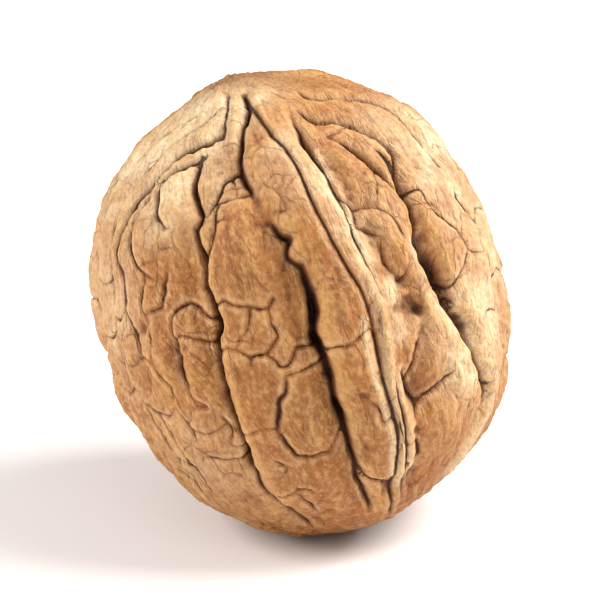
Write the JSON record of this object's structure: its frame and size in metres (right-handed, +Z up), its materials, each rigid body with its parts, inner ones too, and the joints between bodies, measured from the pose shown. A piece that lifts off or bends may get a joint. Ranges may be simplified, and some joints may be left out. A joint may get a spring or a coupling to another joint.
{
  "type": "walnut",
  "caption": "Whole walnut in its shell: a rounded body with a raised seam, furrows from tip to base and a net of cracks, lying on a small flat spot.",
  "frame": {"origin": "middle of the box round the nut, at the height of the surface it lies on", "axes": "+Z up; -Y towards the side the picture shows, so that the seam that faces front is on the -Y side; the nut's own length leans 18.5 degrees to -X and 13 degrees to +Y from upright"},
  "size_m": [0.035, 0.0344, 0.0373],
  "materials": {
    "shell": "matte"
  },
  "bodies": {
    "root": {"walnut": "shell"}
  },
  "joints": []
}
